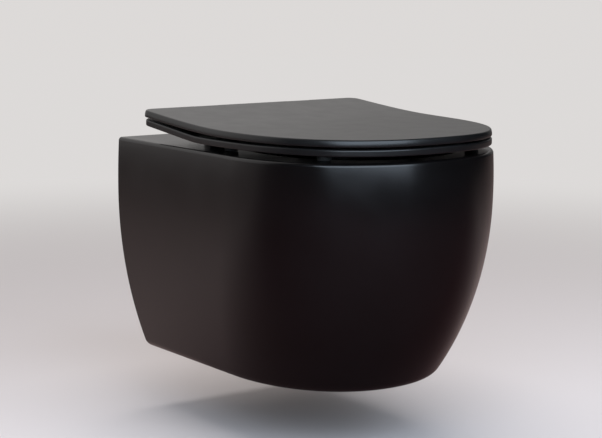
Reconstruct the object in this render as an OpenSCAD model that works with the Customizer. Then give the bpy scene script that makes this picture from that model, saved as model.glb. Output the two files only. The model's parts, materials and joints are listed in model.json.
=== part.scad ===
// Wall-hung toilet pan with a slim seat and lid.
// Millimetres. The origin is midway between the two wall studs, on the wall plane.
// X runs to the right as seen from the front, Y runs into the wall and Z runs up.

/* [Pan] */
// Overall width of the ceramic
pan_w = 370; // [360:1:390]
// Projection of the ceramic from the wall
pan_l = 478; // [470:1:520]
// Height of the rim above the wall studs
rim_h = 80; // [78:0.5:90]
// Depth of the underside below the wall studs
under_d = 223.5; // [218:0.5:236]
// Height of the widest level of the belly above the studs
belly_z = 7; // [-5:1:15]
// Radius of the flanks below the belly, seen from the front
flank_low_r = 620; // [560:10:900]
// Radius of the flanks above the belly, seen from the front
flank_up_r = 1100; // [900:50:2000]
// Radius of the nose below the belly, seen from the side
nose_low_r = 364; // [350:2:500]
// Radius of the nose above the belly, seen from the side
nose_up_r = 450; // [400:10:900]
// Length of the straight sides at the rim
side_top_l = 294; // [270:2:300]
// Length of the straight sides at the underside
side_low_l = 214; // [190:2:240]
// Fullness of the rounded front, 2 is an ellipse
front_n = 2.18; // [2:0.02:2.5]
// Rounding of the rim's outer edge
rim_edge_r = 9; // [6:0.5:11]
// Rounding of the lower edge
low_edge_r = 12; // [8:0.5:16]
// Thickness of the ceramic walls
wall = 12; // [10:0.5:13]
// Thickness of the deck and of the rim
deck_t = 14; // [12:0.5:18]

/* [Bowl] */
// Half the width of the bowl's mouth
bowl_hw = 128; // [122:1:130]
// Distance of the bowl's mouth from the wall
bowl_back = 141; // [138:1:146]
// Distance of the mouth's front from the wall
bowl_tip = 434; // [425:1:436]
// Rounding of the mouth's edge
mouth_r = 8; // [5:0.5:9]
// Depth of the sump below the rim
bowl_depth = 278; // [270:1:282]
// Half the width of the sump's floor
sump_hw = 30; // [26:1:34]
// Distance of the sump's floor from the wall, rear edge
sump_back = 206; // [200:1:214]
// Distance of the sump's floor from the wall, front edge
sump_tip = 268; // [260:1:280]

/* [Trapway and pipes] */
// Inner radius of the trapway
trap_r = 27; // [25:0.5:28]
// Thickness of the trapway's wall
trap_wall = 9; // [8:0.5:10]
// Distance of the trapway's riser from the wall
riser_y = 122; // [121:1:126]
// Radius of the lower bend
low_bend_r = 40; // [36:1:44]
// Radius of the upper bend
top_bend_r = 38; // [37:1:39]
// Depth of the water seal
water_seal = 51; // [50:0.5:53]
// Height of the waste outlet's axis below the studs
waste_drop = 100; // [98:1:102]
// Outer radius of the waste spigot
spigot_r = 51; // [49:0.5:52]
// Inner radius of the waste spigot
spigot_bore_r = 42; // [40:0.5:43]
// Height of the flush inlet's axis above the studs
flush_rise = 35; // [34:0.5:38]
// Radius of the flush socket
socket_r = 27.5; // [26.5:0.5:28]
// Depth of the flush socket
socket_d = 40; // [34:1:46]
// Radius of the flush passage behind the socket
flush_r = 24; // [22:0.5:25]
// Set-back of the spigot and the socket from the wall
pipe_back = 10; // [6:1:14]
// Radius of the flush pipe that the seal takes
flush_pipe_r = 22.5; // [21:0.5:23]

/* [Wall fixing] */
// Distance between the wall studs
stud_pitch = 180; // [180, 230]
// Radius of the studs' thread
stud_r = 6; // [5:0.5:6.5]
// Width of a wall bracket
bracket_w = 56; // [50:1:60]
// Height of a wall bracket
bracket_h = 36; // [32:1:40]
// Reach of a wall bracket from the wall
bracket_l = 105; // [100:1:112]
// Thickness of the ceramic ledge on each bracket
ledge_t = 12; // [10:0.5:14]
// Radius of the clamp screws
clamp_r = 5; // [4:0.5:5]

/* [Seat and lid] */
// Half the width of the seat and the lid
seat_hw = 180.5; // [178:0.5:182]
// Distance of the lid's rear edge from the wall
lid_back = 63.5; // [63:0.5:64]
// Distance of the seat's rear edge from the wall
seat_back = 66.5; // [66:0.5:68]
// Distance of their front from the wall
seat_tip = 475.5; // [468:0.5:480]
// Length of their straight sides, from the wall
seat_side_l = 228; // [220:2:240]
// Fullness of their rounded front, 2 is an ellipse
seat_n = 2.5; // [2.3:0.02:2.6]
// Radius of their rear corners
seat_corner_r = 16; // [12:1:24]
// Thickness of the seat ring
seat_t = 7.3; // [6.5:0.1:8]
// Thickness of the lid
lid_t = 11.2; // [10:0.1:12]
// Depth of the hollow under the lid
lid_hollow = 4; // [3:0.5:5]
// Width of the lip round the hollow
lid_lip = 14; // [12:1:20]
// Gap between the rim and the seat
seat_lift = 8.1; // [7.5:0.1:8.5]
// Least gap between the seat and the lid
lid_gap = 0.6; // [0.5:0.1:1]
// Rounding of the seat's edges
seat_edge_r = 1.5; // [1:0.25:2.5]
// Rounding of the lid's upper edge
lid_top_r = 2.5; // [2:0.25:4]
// Rounding of the lid's lower edge
lid_low_r = 1; // [0.75:0.25:2]
// Where the upward sweep towards the hinges starts, from the wall
sweep_from = 206; // [204:1:208]
// Slope of the swept rear of the seat
seat_slope = 0.1023; // [0.09:0.001:0.104]
// Slope of the swept rear of the lid
lid_slope = 0.1053; // [0.104:0.001:0.11]
// Length over which the seat turns into its slope
seat_blend = 18; // [10:1:30]
// Length over which the lid turns into its slope
lid_blend = 62; // [50:1:70]
// Half the width of the seat's opening
hole_hw = 108; // [102:1:112]
// Distance of the opening's rear from the wall
hole_back = 160; // [155:1:166]
// Distance of the opening's front from the wall
hole_tip = 426; // [416:1:430]

/* [Hinges] */
// Distance of each hinge from the middle
hinge_x = 77.5; // [75:0.5:80]
// Distance of the fixing holes from the wall
hole_y = 86; // [85:0.5:88]
// Radius of the fixing holes in the deck
deck_hole_r = 8; // [7.5:0.5:8.5]
// Distance of the hinge axis from the wall
axis_y = 69; // [69:0.25:69.5]
// Height of the hinge axis above the rim
axis_h = 24.6; // [24.2:0.1:24.8]
// Outer radius of the barrels and knuckles
barrel_r = 6; // [5.5:0.25:6]
// Length of a pillar's barrel
barrel_l = 39; // [36:1:42]
// Length of a knuckle
knuckle_l = 12; // [10:1:13]
// Radius of the axles
axle_r = 2.5; // [2:0.25:2.75]
// Radius of the soft-close cartridges
damper_r = 4.45; // [4.2:0.05:4.5]
// Radius of the round base plates
base_r = 22; // [20:0.5:24]
// Thickness of the base plates
base_t = 4; // [3:0.25:4]
// Thickness of the rubber washers under them
gasket_t = 1; // [0.8:0.1:1.2]
// Radius of the fixing bolts
bolt_r = 4; // [3:0.5:4]
// Radius of the release buttons
button_r = 4.5; // [4:0.25:5]
// Travel of the release buttons
button_travel = 2; // [1:0.25:2]

/* [Clearances] */
// Running clearance of an axle in its bush, on the radius
run_gap = 0.05; // [0.02:0.01:0.08]
// Clearance of a loose fit, on the radius
loose_gap = 0.2; // [0.1:0.05:0.3]
// Clearance beside the knuckles
side_gap = 1; // [0.6:0.1:1.5]
// Clearance at rest between a buffer and what it meets
rest_gap = 0.3; // [0.2:0.05:0.4]

/* [Hidden] */
$fn = 64;
// Two bodies overlap by this much where one must cut or join the other
eps = 1;
// Steps round the front and levels up the flanks of the ceramic
front_steps = 46;
flank_levels = 12;
edge_steps = 4;
rim_steps = 3;
trap_sides = 20;

pan_hw = pan_w / 2;
floor_z = -under_d;
deck_z = rim_h - deck_t;
// Shape of the bowl's fall from the mouth to the sump, as powers of the depth
fall_p = 2.2;
fall_q = 1.2;
bowl_n = 2.2;
sump_z = rim_h - bowl_depth;
bowl_joint_z = rim_h - 0.54 * bowl_depth;

// Heights of the trapway: its entry, its crest and the pipes' axes
trap_z = sump_z + trap_r;
dip_z = trap_z + trap_r;
crest_z = dip_z + water_seal + trap_r;
waste_z = -waste_drop;
flush_z = flush_rise;
crest_y = riser_y - top_bend_r;
trap_out_r = trap_r + trap_wall;
// Box-shaped end of the trapway that opens into the waste spigot
chamber_rear = 48;
chamber_front = riser_y - trap_out_r;
chamber_hw = spigot_bore_r - 2;
chamber_top = crest_z + trap_r + 1;
chamber_low = waste_z - chamber_hw;
boss_r = socket_r + 10.5;

seat_z = rim_h + seat_lift;
lid_z = seat_z + seat_t + lid_gap;
seat_sweep = [seat_slope, seat_blend];
lid_sweep = [lid_slope, lid_blend];
axis_z = rim_h + axis_h;
hole_mid = (hole_back + hole_tip) / 2;
hole_n = 2.3;

base_z = rim_h + gasket_t;
pillar_z = base_z + base_t;
pillar_d = 15;
pillar_w = 28;
pillar_top = pillar_z + 18;
stem_top = pillar_z + 8;
button_floor = stem_top + 2;
button_low = pillar_top - 2.3;
button_top = pillar_top + 2.5;
spring_r = button_r - 1.1;
spring_wire = 0.35;

bracket_x = stud_pitch / 2;
bracket_top = bracket_h / 2;
ledge_top = bracket_top + ledge_t;
washer_t = 1.6;
screw_head_h = 6;
screw_depth = 30;
screw_end_gap = 2;
insert_l = 0.42 * bracket_l;
insert_r = stud_r + 3.5;
ledge_rear = 50;

knuckle_bush_r = axle_r + 1.5;
knuckle_wall = 1.5;
knuckle_root = 6;
end_gap = 0.2;
bore_l = knuckle_l - knuckle_wall;
seat_knuckle_x = hinge_x - barrel_l / 2 - side_gap - knuckle_l;
lid_knuckle_x = hinge_x + barrel_l / 2 + side_gap;
notch_in = seat_knuckle_x;
notch_out = lid_knuckle_x + knuckle_l + 2 * side_gap;
notch_front = hole_y + 0.8 * pillar_d;
buffer_r = 9;
pocket_d = 2;
buffer_rear_y = 240;
buffer_front_y = seat_tip - 8.5 * buffer_r;
buffer_front_x = 0.65 * seat_hw;
seat_buffers_at = [[seat_hw - 3.4 * buffer_r, buffer_rear_y], [buffer_front_x, buffer_front_y]];
lid_buffers_at = [[seat_hw - lid_lip - 2 * buffer_r, buffer_rear_y], [buffer_front_x, buffer_front_y]];

// Drop of a bulging side away from its widest level, as a circle of radius r
function bulge(z, low_r, up_r) = let (d = z - belly_z, r = d < 0 ? low_r : up_r)
    r - sqrt(r * r - d * d);
function flank(z) = pan_hw - bulge(z, flank_low_r, flank_up_r);
function nose(z) = pan_l - bulge(z, nose_low_r, nose_up_r);
function side_l(z) = side_low_l + (side_top_l - side_low_l) * (z - floor_z) / (rim_h - floor_z);

// Rounded front of a plan, from the right side to the left one
function front_arc(hw, start, tip, n, steps) = [for (i = [0 : steps]) let (a = 180 * i / steps)
    [hw * sign(cos(a)) * pow(abs(cos(a)), 2 / n), -start - (tip - start) * pow(abs(sin(a)), 2 / n)]];

// Plan with straight sides and a rounded front, square at the wall
function pan_plan(hw, back, start, tip, n, steps, parts) = concat(
    [for (i = [0 : parts - 1]) [hw, -back - (start - back) * i / parts]],
    front_arc(hw, start, tip, n, steps),
    [for (i = [parts - 1 : -1 : 0]) [-hw, -back - (start - back) * i / parts]]);

// Oval plan of the bowl, full at both ends
function oval(hw, back, tip, n, steps) = let (mid = (back + tip) / 2, hl = (tip - back) / 2)
    [for (i = [0 : steps - 1]) let (a = -360 * i / steps)
        [hw * sign(cos(a)) * pow(abs(cos(a)), 2 / n), hl * sign(sin(a)) * pow(abs(sin(a)), 2 / n) - mid]];

// Plan of the seat or the lid, drawn in by an inset, with rounded rear corners
function seat_plan(rear, inset, steps, parts) = let (
    hw = seat_hw - inset, back = rear + inset, r = seat_corner_r - inset,
    corner = [for (a = [90 : -22.5 : 0]) [hw - r + r * cos(a), -back - r + r * sin(a)]],
    side = [for (i = [1 : parts - 1]) [hw, -back - r - (seat_side_l - back - r) * i / parts]],
    arc = front_arc(hw, seat_side_l, seat_tip - inset, seat_n, steps),
    right = concat(corner, side))
    concat(right, arc, [for (i = [len(right) - 1 : -1 : 0]) [-right[i][0], right[i][1]]]);

// Rise of the seat or the lid at y: level at the front, blended into a slope at the rear
function sweep(y, s) = let (d = y + sweep_from) s[0] * (sqrt(d * d + s[1] * s[1]) + d) / 2;

// Where the seat's opening lies in the same direction as a point of the outer edge
function hole_point(p, grow) = let (
    a = atan2(p[1] + hole_mid, p[0]), hw = hole_hw + grow, hl = (hole_tip - hole_back) / 2 + grow,
    r = pow(pow(abs(cos(a)) / hw, hole_n) + pow(abs(sin(a)) / hl, hole_n), -1 / hole_n))
    [r * cos(a), r * sin(a) - hole_mid];

// A rounded edge as pairs of inset and height, bottom to top
function edge(t, low_r, top_r) = concat(
    [for (i = [0 : rim_steps]) let (a = 90 * i / rim_steps) [low_r * (1 - sin(a)), low_r * (1 - cos(a))]],
    [for (i = [rim_steps : -1 : 0]) let (a = 90 * i / rim_steps)
        [top_r * (1 - sin(a)), t - top_r * (1 - cos(a))]]);

function at_height(plan, z) = [for (p = plan) [p[0], p[1], z]];
function swept(plan, z, s) = [for (p = plan) [p[0], p[1], z + sweep(p[1], s)]];

// Sides between rings of equal length that run clockwise seen from above
function skin(count, n, closed) = [for (i = [0 : count - (closed ? 1 : 2)], j = [0 : n - 1])
    let (a = i * n + j, b = i * n + (j + 1) % n, k = ((i + 1) % count) * n)
    each [[a, b, k + (j + 1) % n], [a, k + (j + 1) % n, k + j]]];

// A solid through flat rings, closed by flat ends
module loft(rings) {
    n = len(rings[0]);
    count = len(rings);
    polyhedron([for (r = rings) each r], concat(skin(count, n, false),
        [[for (j = [n - 1 : -1 : 0]) j]], [[for (j = [0 : n - 1]) (count - 1) * n + j]]));
}

// A solid through rings that mirror about the middle and have one point at the tip,
// closed by strips across it
module strip_loft(rings) {
    n = len(rings[0]);
    count = len(rings);
    top = (count - 1) * n;
    tip = (n - 1) / 2;
    polyhedron([for (r = rings) each r], concat(skin(count, n, false),
        [for (j = [0 : tip - 2]) [j, n - 1 - j, n - 2 - j, j + 1]], [[tip - 1, tip + 1, tip]],
        [for (j = [0 : tip - 2]) [top + j, top + j + 1, top + n - 2 - j, top + n - 1 - j]],
        [[top + tip - 1, top + tip, top + tip + 1]]));
}

module both_sides() {
    children();
    mirror([1, 0, 0]) children();
}

// A cylinder along X that starts at x
module rod_x(x, l, r) {
    translate([x, 0, 0]) rotate([0, 90, 0]) cylinder(r = r, h = l);
}

// A cylinder along Y from the wall side to the front, by distances from the wall
module rod_y(near, far, z, r) {
    translate([0, -near, z]) rotate([90, 0, 0]) cylinder(r = r, h = far - near);
}

// The hinge line as a place for things drawn along X
module on_axis() {
    translate([0, -axis_y, axis_z]) children();
}

module at_hinge_hole() {
    translate([hinge_x, -hole_y, 0]) children();
}

// Outside of the ceramic through levels of height and inset
module pan_outside(levels) {
    strip_loft([for (l = levels) at_height(
        pan_plan(flank(l[0]) - l[1], 0, side_l(l[0]), nose(l[0]) - l[1], front_n, front_steps, 3), l[0])]);
}

// The hollow between the shell and the bowl, open at the wall
module pan_hollow() {
    from = floor_z + wall;
    soft = 8;
    levels = concat([[from, soft], [from + soft / 3, soft / 3], [from + soft, 0]],
        [for (i = [1 : 5]) [from + soft + (deck_z - from - 2 * soft) * i / 6, 0]],
        [[deck_z - soft, 0], [deck_z - soft / 3, soft / 3], [deck_z, soft], [deck_z + eps, soft]]);
    strip_loft([for (l = levels) at_height(pan_plan(flank(l[0]) - wall - l[1], -eps, side_l(l[0]),
        nose(l[0]) - wall - l[1], front_n, 26, 1), l[0])]);
}

function fall(d) = d >= bowl_depth ? 0 : pow(1 - pow(d / bowl_depth, fall_p), fall_q);

// One ring of the bowl at a depth below the rim, grown outwards
function bowl_ring(d, grow, steps) = let (f = fall(max(d, 0)))
    at_height(oval(sump_hw + (bowl_hw - sump_hw) * f + grow, sump_back + (bowl_back - sump_back) * f - grow,
        sump_tip + (bowl_tip - sump_tip) * f + grow, bowl_n, steps), rim_h - d);

module bowl_inside() {
    depths = [for (i = [10 : -1 : 1]) mouth_r + (bowl_depth - mouth_r) * i / 10];
    lip = [for (i = [edge_steps : -1 : 0]) let (a = 90 * i / edge_steps)
        [mouth_r * (1 - cos(a)), mouth_r * (1 - sin(a))]];
    loft(concat([for (d = depths) bowl_ring(d, 0, 40)], [for (l = lip) bowl_ring(l[0], l[1], 40)],
        [bowl_ring(-eps, mouth_r, 40)]));
}

module bowl_outside() {
    top_d = deck_t / 2;
    low_d = rim_h - floor_z - wall / 2;
    loft([for (i = [7 : -1 : 0]) bowl_ring(top_d + (low_d - top_d) * i / 7, wall, 28)]);
}

// Trapway of radius r: entry, lower bend, riser, crest and its rounded end
module trapway(r) {
    entry = (sump_back + sump_tip) / 2;
    low_y = riser_y + low_bend_r;
    low_z = trap_z + low_bend_r;
    top_z = crest_z - top_bend_r;
    path = concat([[-entry, trap_z, 0, r]],
        [for (a = [0 : 18 : 90]) [low_bend_r * sin(a) - low_y, low_z - low_bend_r * cos(a), a, r]],
        [for (a = [90 : -18 : 0]) [-crest_y - top_bend_r * sin(a), top_z + top_bend_r * cos(a), a, r]],
        [for (a = [40, 65]) [r * sin(a) - crest_y, crest_z, 0, r * cos(a)]]);
    loft([for (p = path) [for (k = [0 : trap_sides - 1]) let (b = 360 * k / trap_sides)
        [p[3] * cos(b), p[0] - p[3] * sin(b) * sin(p[2]), p[1] + p[3] * sin(b) * cos(p[2])]]]);
}

// Ledge on the shell's side that lies on a bracket
module ledge() {
    translate([bracket_x - bracket_w / 2, -bowl_back - wall, bracket_top])
        cube([pan_hw - wall / 2 - bracket_x + bracket_w / 2, bowl_back + wall - ledge_rear, ledge_t]);
}

// The ceramic is one piece when fired. Shell, rim, bowl, sump, trapway and flush socket are the parts
// that it is joined from before.
module pan_shell() {
    low = [for (i = [0 : edge_steps]) let (a = 90 * i / edge_steps)
        [floor_z + low_edge_r * (1 - cos(a)), low_edge_r * (1 - sin(a))]];
    step = (deck_z - floor_z - low_edge_r) / flank_levels;
    flanks = [for (i = [1 : flank_levels]) [floor_z + low_edge_r + step * i, 0]];
    color([0.13, 0.13, 0.14]) difference() {
        pan_outside(concat(low, flanks));
        difference() {
            pan_hollow();
            both_sides() ledge();
        }
        bowl_outside();
        both_sides() at_hinge_hole()
            translate([0, 0, bracket_top - eps]) cylinder(r = clamp_r + 1, h = ledge_t + 2 * eps);
    }
}

// Rim and deck on top of the shell, open over the bowl
module pan_rim() {
    top = [for (i = [edge_steps : -1 : 0]) let (a = 90 * i / edge_steps)
        [rim_h - rim_edge_r * (1 - cos(a)), rim_edge_r * (1 - sin(a))]];
    color([0.13, 0.13, 0.14]) difference() {
        pan_outside(concat([[deck_z, 0]], top));
        bowl_outside();
        bowl_inside();
        both_sides() at_hinge_hole()
            translate([0, 0, deck_z - eps]) cylinder(r = deck_hole_r, h = deck_t + 2 * eps);
    }
}

// Space above or below the level where the bowl and its sump were joined
module beyond_joint(side) {
    half = bowl_hw + wall + eps;
    reach = bowl_tip + wall + eps;
    translate([-half, -reach, side > 0 ? bowl_joint_z : floor_z])
        cube([2 * half, reach, side > 0 ? rim_h - bowl_joint_z : bowl_joint_z - floor_z]);
}

module pan_bowl() {
    color([0.13, 0.13, 0.14]) difference() {
        bowl_outside();
        bowl_inside();
        beyond_joint(-1);
        rod_y(0, bowl_back + wall, flush_z, flush_r);
    }
}

module pan_sump() {
    color([0.13, 0.13, 0.14]) difference() {
        bowl_outside();
        bowl_inside();
        beyond_joint(1);
        trapway(trap_r);
    }
}

module pan_trapway() {
    box_front = chamber_front + trap_wall / 2;
    box_hw = spigot_r + 2;
    foot_w = trap_r;
    color([0.13, 0.13, 0.14]) difference() {
        union() {
            trapway(trap_out_r);
            // Foot that carries the lower bend
            translate([-foot_w / 2, -sump_back, floor_z + wall])
                cube([foot_w, sump_back - riser_y, trap_z - floor_z - wall]);
            translate([-box_hw, -box_front, waste_z - box_hw])
                cube([2 * box_hw, box_front - chamber_rear, chamber_top + trap_wall - waste_z + box_hw]);
            rod_y(pipe_back, chamber_rear + wall, waste_z, spigot_r);
        }
        bowl_outside();
        trapway(trap_r);
        rod_y(-eps, chamber_rear + trap_wall + eps, waste_z, spigot_bore_r);
        translate([-chamber_hw, -chamber_front, chamber_low])
            cube([2 * chamber_hw, chamber_front - chamber_rear - trap_wall, chamber_top - chamber_low]);
    }
}

module flush_socket() {
    color([0.13, 0.13, 0.14]) difference() {
        rod_y(pipe_back, bowl_back, flush_z, boss_r);
        bowl_outside();
        translate([-boss_r, -bowl_back, deck_z]) cube([2 * boss_r, bowl_back, boss_r]);
        rod_y(-eps, pipe_back + socket_d, flush_z, socket_r);
        rod_y(0, bowl_back + wall, flush_z, flush_r);
    }
}

// Tube in the flush passage with a plate that turns the water sideways along the bowl
module flush_distributor() {
    tube_l = flush_r;
    tube_t = 3.5;
    plate_gap = 9;
    plate_t = 4;
    plate_w = 3 * flush_r;
    plate_h = 1.8 * flush_r;
    arm = 4;
    front = bowl_back + 2;
    color([0.13, 0.13, 0.14]) difference() {
        union() {
            rod_y(front - tube_l, front, flush_z, flush_r - loose_gap);
            translate([0, 0, flush_z]) both_sides() translate([flush_r - 1.5 * arm, -front - plate_gap, -arm])
                cube([arm, plate_gap + arm / 2, 2 * arm]);
            translate([-plate_w / 2, -front - plate_gap - plate_t, flush_z - plate_h / 2])
                cube([plate_w, plate_t, plate_h]);
        }
        rod_y(front - tube_l - eps, front + plate_gap / 2, flush_z, flush_r - tube_t);
    }
}

// Rubber sleeve in the flush socket, with a rounded lead-in for the flush pipe
module inlet_seal() {
    l = socket_d - 2;
    t = socket_r - loose_gap / 2 - flush_pipe_r;
    color([0.16, 0.16, 0.16]) translate([0, -pipe_back, flush_z]) rotate([90, 0, 0]) rotate_extrude()
        translate([flush_pipe_r, 0]) polygon([[t / 2, 0], [t, 0], [t, l], [0, l], [0, t / 2]]);
}

// Block on the wall stud: the pan's ledge lies on it and its clamp screw enters from above
module bracket() {
    waist_w = bracket_w / 4;
    waist_l = bracket_l / 3.5;
    color([0.55, 0.56, 0.58]) difference() {
        translate([bracket_x - bracket_w / 2, -bracket_l, -bracket_h / 2])
            cube([bracket_w, bracket_l, bracket_h]);
        translate([bracket_x, 0, 0]) {
            rod_y(-eps, insert_l + eps, 0, insert_r);
            rod_y(insert_l, bracket_l - bracket_w + 2 * stud_r, 0, stud_r + 1);
        }
        at_hinge_hole() translate([0, 0, bracket_top - screw_depth])
            cylinder(r = clamp_r + run_gap, h = screw_depth + eps);
        // Waist on the outer side of the block's nose
        translate([bracket_x + bracket_w / 2 - waist_w, -bracket_l - eps, -bracket_h / 2 - eps])
            cube([waist_w + eps, waist_l + eps, bracket_h + 2 * eps]);
    }
}

module bracket_right() { bracket(); }
module bracket_left() { mirror([1, 0, 0]) bracket(); }

module stud_inserts() {
    color([0.72, 0.58, 0.3]) both_sides() translate([bracket_x, 0, 0]) difference() {
        rod_y(0, insert_l, 0, insert_r - run_gap);
        rod_y(-eps, insert_l + eps, 0, stud_r);
    }
}

// Clamp screws with a hexagon socket, through the ledges into the brackets
module clamp_screws() {
    shaft_l = ledge_t + washer_t + screw_depth - screw_end_gap;
    socket_floor = 2;
    color([0.7, 0.7, 0.72]) both_sides() at_hinge_hole() {
        translate([0, 0, bracket_top - screw_depth + screw_end_gap]) cylinder(r = clamp_r, h = shaft_l + eps);
        translate([0, 0, ledge_top + washer_t]) difference() {
            cylinder(r = 1.5 * clamp_r, h = screw_head_h);
            translate([0, 0, socket_floor]) cylinder(r = clamp_r - 1, h = screw_head_h, $fn = 6);
        }
    }
}

module clamp_washers() {
    color([0.75, 0.75, 0.77]) both_sides() at_hinge_hole() translate([0, 0, ledge_top]) difference() {
        cylinder(r = clamp_r + 6, h = washer_t);
        translate([0, 0, -eps]) cylinder(r = clamp_r + loose_gap, h = washer_t + 2 * eps);
    }
}

plug_top = rim_h - rest_gap;
plug_low = deck_z - deck_t;
nut_h = 6.5;
bolt_low = plug_low - nut_h - 2.5;

module bolt_plugs() {
    color([0.15, 0.15, 0.15]) both_sides() at_hinge_hole() difference() {
        translate([0, 0, plug_low]) cylinder(r = deck_hole_r - loose_gap, h = plug_top - plug_low);
        translate([0, 0, plug_low - eps]) cylinder(r = bolt_r + loose_gap, h = plug_top - plug_low + 2 * eps);
    }
}

module plug_nuts() {
    color([0.75, 0.75, 0.77]) both_sides() at_hinge_hole() translate([0, 0, plug_low - nut_h]) difference() {
        cylinder(r = bolt_r + 3.4, h = nut_h, $fn = 6);
        translate([0, 0, -eps]) cylinder(r = bolt_r + run_gap, h = nut_h + 2 * eps);
    }
}

// Bolt with a shoulder on the base plate and a mushroom end for the latch
module hinge_bolts() {
    shoulder = bolt_r + 1.2;
    neck = bolt_r - 0.5;
    cap = bolt_r + 0.8;
    color([0.7, 0.7, 0.72]) both_sides() at_hinge_hole() rotate_extrude() polygon([
        [0, bolt_low], [bolt_r, bolt_low], [bolt_r, pillar_z], [shoulder, pillar_z],
        [shoulder, pillar_z + 2], [neck, pillar_z + 3], [neck, pillar_z + 4.5], [cap, pillar_z + 5.5],
        [cap, pillar_z + 6.5], [cap - 1.5, pillar_z + 7.5], [0, pillar_z + 7.5]]);
}

module base_gaskets() {
    color([0.15, 0.15, 0.15]) both_sides() at_hinge_hole() translate([0, 0, rim_h]) difference() {
        cylinder(r = base_r - 1, h = gasket_t);
        translate([0, 0, -eps]) cylinder(r = deck_hole_r + 1, h = gasket_t + 2 * eps);
    }
}

// Round plate with a bevelled edge
module base_plate() {
    color([0.72, 0.73, 0.75]) at_hinge_hole() translate([0, 0, base_z]) rotate_extrude() polygon([
        [bolt_r + loose_gap, 0], [base_r, 0], [base_r, base_t / 2], [base_r - base_t / 2, base_t],
        [bolt_r + loose_gap, base_t]]);
}

module base_right() { base_plate(); }
module base_left() { mirror([1, 0, 0]) base_plate(); }

// Pillar over the bolt's head with a short arm back to the barrel on the hinge line
module pillar() {
    pillar_front = hole_y + pillar_d / 2;
    arm_y = hole_y - pillar_d / 2 + 1;
    color([0.2, 0.2, 0.21]) difference() {
        union() {
            translate([hinge_x - pillar_w / 2, -pillar_front, pillar_z])
                cube([pillar_w, pillar_d, pillar_top - pillar_z]);
            translate([hinge_x - barrel_l / 2, 0, 0]) rotate([90, 0, 90]) linear_extrude(barrel_l) polygon([
                [-arm_y, axis_z - barrel_r + 0.3], [-axis_y, axis_z - barrel_r + 0.3],
                [-axis_y, axis_z + barrel_r - 0.3], [-arm_y, pillar_top]]);
            on_axis() rod_x(hinge_x - barrel_l / 2, barrel_l, barrel_r);
        }
        on_axis() rod_x(hinge_x - barrel_l / 2 - eps, barrel_l + 2 * eps, damper_r + run_gap);
        at_hinge_hole() {
            translate([0, 0, pillar_z - eps]) cylinder(r = bolt_r + 1.6, h = stem_top - pillar_z + eps);
            translate([0, 0, button_floor])
                cylinder(r = button_r + run_gap, h = pillar_top - button_floor + eps);
        }
    }
}

module pillar_right() { pillar(); }
module pillar_left() { mirror([1, 0, 0]) pillar(); }

axle_x = seat_knuckle_x + knuckle_wall + rest_gap;
axle_l = lid_knuckle_x + bore_l - rest_gap - axle_x;

module axle() {
    color([0.75, 0.75, 0.77]) on_axis() rod_x(axle_x, axle_l, axle_r);
}

module axle_right() { axle(); }
module axle_left() { mirror([1, 0, 0]) axle(); }

// Soft-close cartridge round the axle inside the barrel
module damper() {
    l = barrel_l - 2;
    color([0.85, 0.85, 0.83]) on_axis() difference() {
        rod_x(hinge_x - l / 2, l, damper_r);
        rod_x(hinge_x - l / 2 - eps, l + 2 * eps, axle_r + run_gap);
    }
}

module damper_right() { damper(); }
module damper_left() { mirror([1, 0, 0]) damper(); }

// Coil spring swept along a helix between the pillar's floor and the button
module spring() {
    turns = 3.5;
    per_turn = 10;
    sides = 5;
    low = button_floor + spring_wire + 0.05;
    high = button_low - spring_wire - 0.05;
    count = floor(turns * per_turn) + 1;
    color([0.75, 0.75, 0.77]) at_hinge_hole() loft([for (i = [0 : count - 1])
        let (a = -360 * i / per_turn, z = low + (high - low) * i / (count - 1))
        [for (k = [0 : sides - 1]) let (b = -360 * k / sides)
            [(spring_r + spring_wire * cos(b)) * cos(a), (spring_r + spring_wire * cos(b)) * sin(a),
                z + spring_wire * sin(b)]]]);
}

module spring_right() { spring(); }
module spring_left() { mirror([1, 0, 0]) spring(); }

// Push button with a bevelled crown
module button() {
    h = button_top - button_low;
    color([0.7, 0.7, 0.72]) at_hinge_hole() translate([0, 0, button_low]) rotate_extrude() polygon([
        [0, 0], [button_r, 0], [button_r, h - 1], [button_r - 1, h], [0, h]]);
}

module button_right() { button(); }
module button_left() { mirror([1, 0, 0]) button(); }

// Ring of the seat: outer edge, top, inner edge and underside, with the rear notches and knuckles
module seat_ring() {
    steps = 44;
    parts = 7;
    rim = edge(seat_t, seat_edge_r, seat_edge_r);
    outline = seat_plan(seat_back, 0, steps, parts);
    outer = [for (e = rim) swept(seat_plan(seat_back, e[0], steps, parts), seat_z + e[1], seat_sweep)];
    inner = [for (i = [len(rim) - 1 : -1 : 0])
        swept([for (p = outline) hole_point(p, rim[i][0])], seat_z + rim[i][1], seat_sweep)];
    rings = concat(outer, inner);
    color([0.12, 0.12, 0.13]) difference() {
        union() {
            difference() {
                polyhedron([for (r = rings) each r], skin(len(rings), len(outline), true));
                both_sides() translate([notch_in, -notch_front, rim_h])
                    cube([notch_out - notch_in, notch_front, axis_z]);
            }
            both_sides() on_axis() rod_x(notch_in - knuckle_root, knuckle_l + knuckle_root, barrel_r);
        }
        both_sides() on_axis() rod_x(seat_knuckle_x + knuckle_wall, bore_l + eps, knuckle_bush_r + run_gap);
        both_sides() for (p = seat_buffers_at) translate([p[0], -p[1], seat_z - eps])
            cylinder(r = buffer_r + loose_gap, h = pocket_d + eps + sweep(-p[1], seat_sweep));
    }
}

// Round rubber buffers in pockets under the seat, down to the rim
module seat_buffers() {
    chamfer = 1.5;
    color([0.2, 0.2, 0.2]) both_sides() for (p = seat_buffers_at) {
        h = seat_lift + pocket_d + sweep(-p[1], seat_sweep) - 2 * rest_gap;
        translate([p[0], -p[1], rim_h + rest_gap]) rotate_extrude() polygon([
            [0, 0], [buffer_r - chamfer, 0], [buffer_r, chamfer], [buffer_r, h], [0, h]]);
    }
}

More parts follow.
